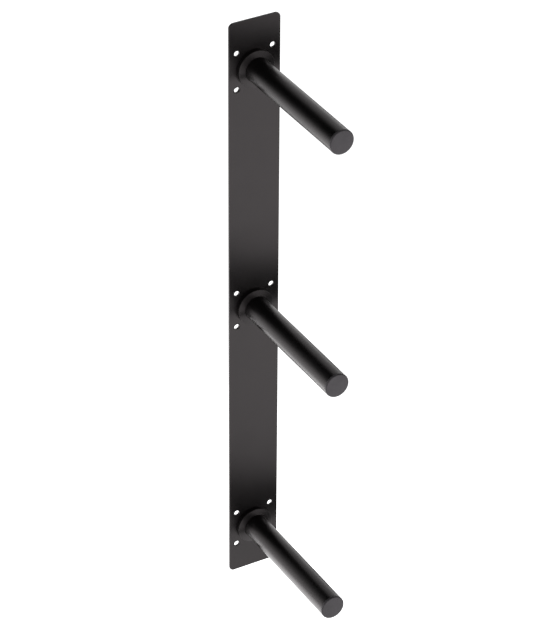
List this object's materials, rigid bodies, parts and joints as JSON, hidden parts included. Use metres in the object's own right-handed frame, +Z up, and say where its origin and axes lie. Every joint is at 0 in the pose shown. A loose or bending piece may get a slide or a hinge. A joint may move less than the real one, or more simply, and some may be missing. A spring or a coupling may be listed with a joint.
{
  "type": "wall peg rack",
  "caption": "Tall narrow wall-mounted steel plate with a vertical row of long round pegs standing straight out, capped at their ends, and screw holes round each peg.",
  "frame": {"origin": "centre of the back plate's rear face, which lies on the wall, level with the middle peg's axis", "axes": "+Z up along the plate, +X across it, +Y into the wall, so the pegs point along -Y"},
  "size_m": [0.106, 0.314, 1.22],
  "materials": {
    "powder_coat": "satin black powder coat with a fine orange-peel texture",
    "cap_plastic": "black moulded plastic, fine matte grain"
  },
  "bodies": {
    "root": {"back_plate": "powder_coat", "upper_peg_tube": "powder_coat", "middle_peg_tube": "powder_coat", "lower_peg_tube": "powder_coat", "upper_collar": "powder_coat", "middle_collar": "powder_coat", "lower_collar": "powder_coat", "upper_end_cap": "cap_plastic", "middle_end_cap": "cap_plastic", "lower_end_cap": "cap_plastic"}
  },
  "joints": []
}
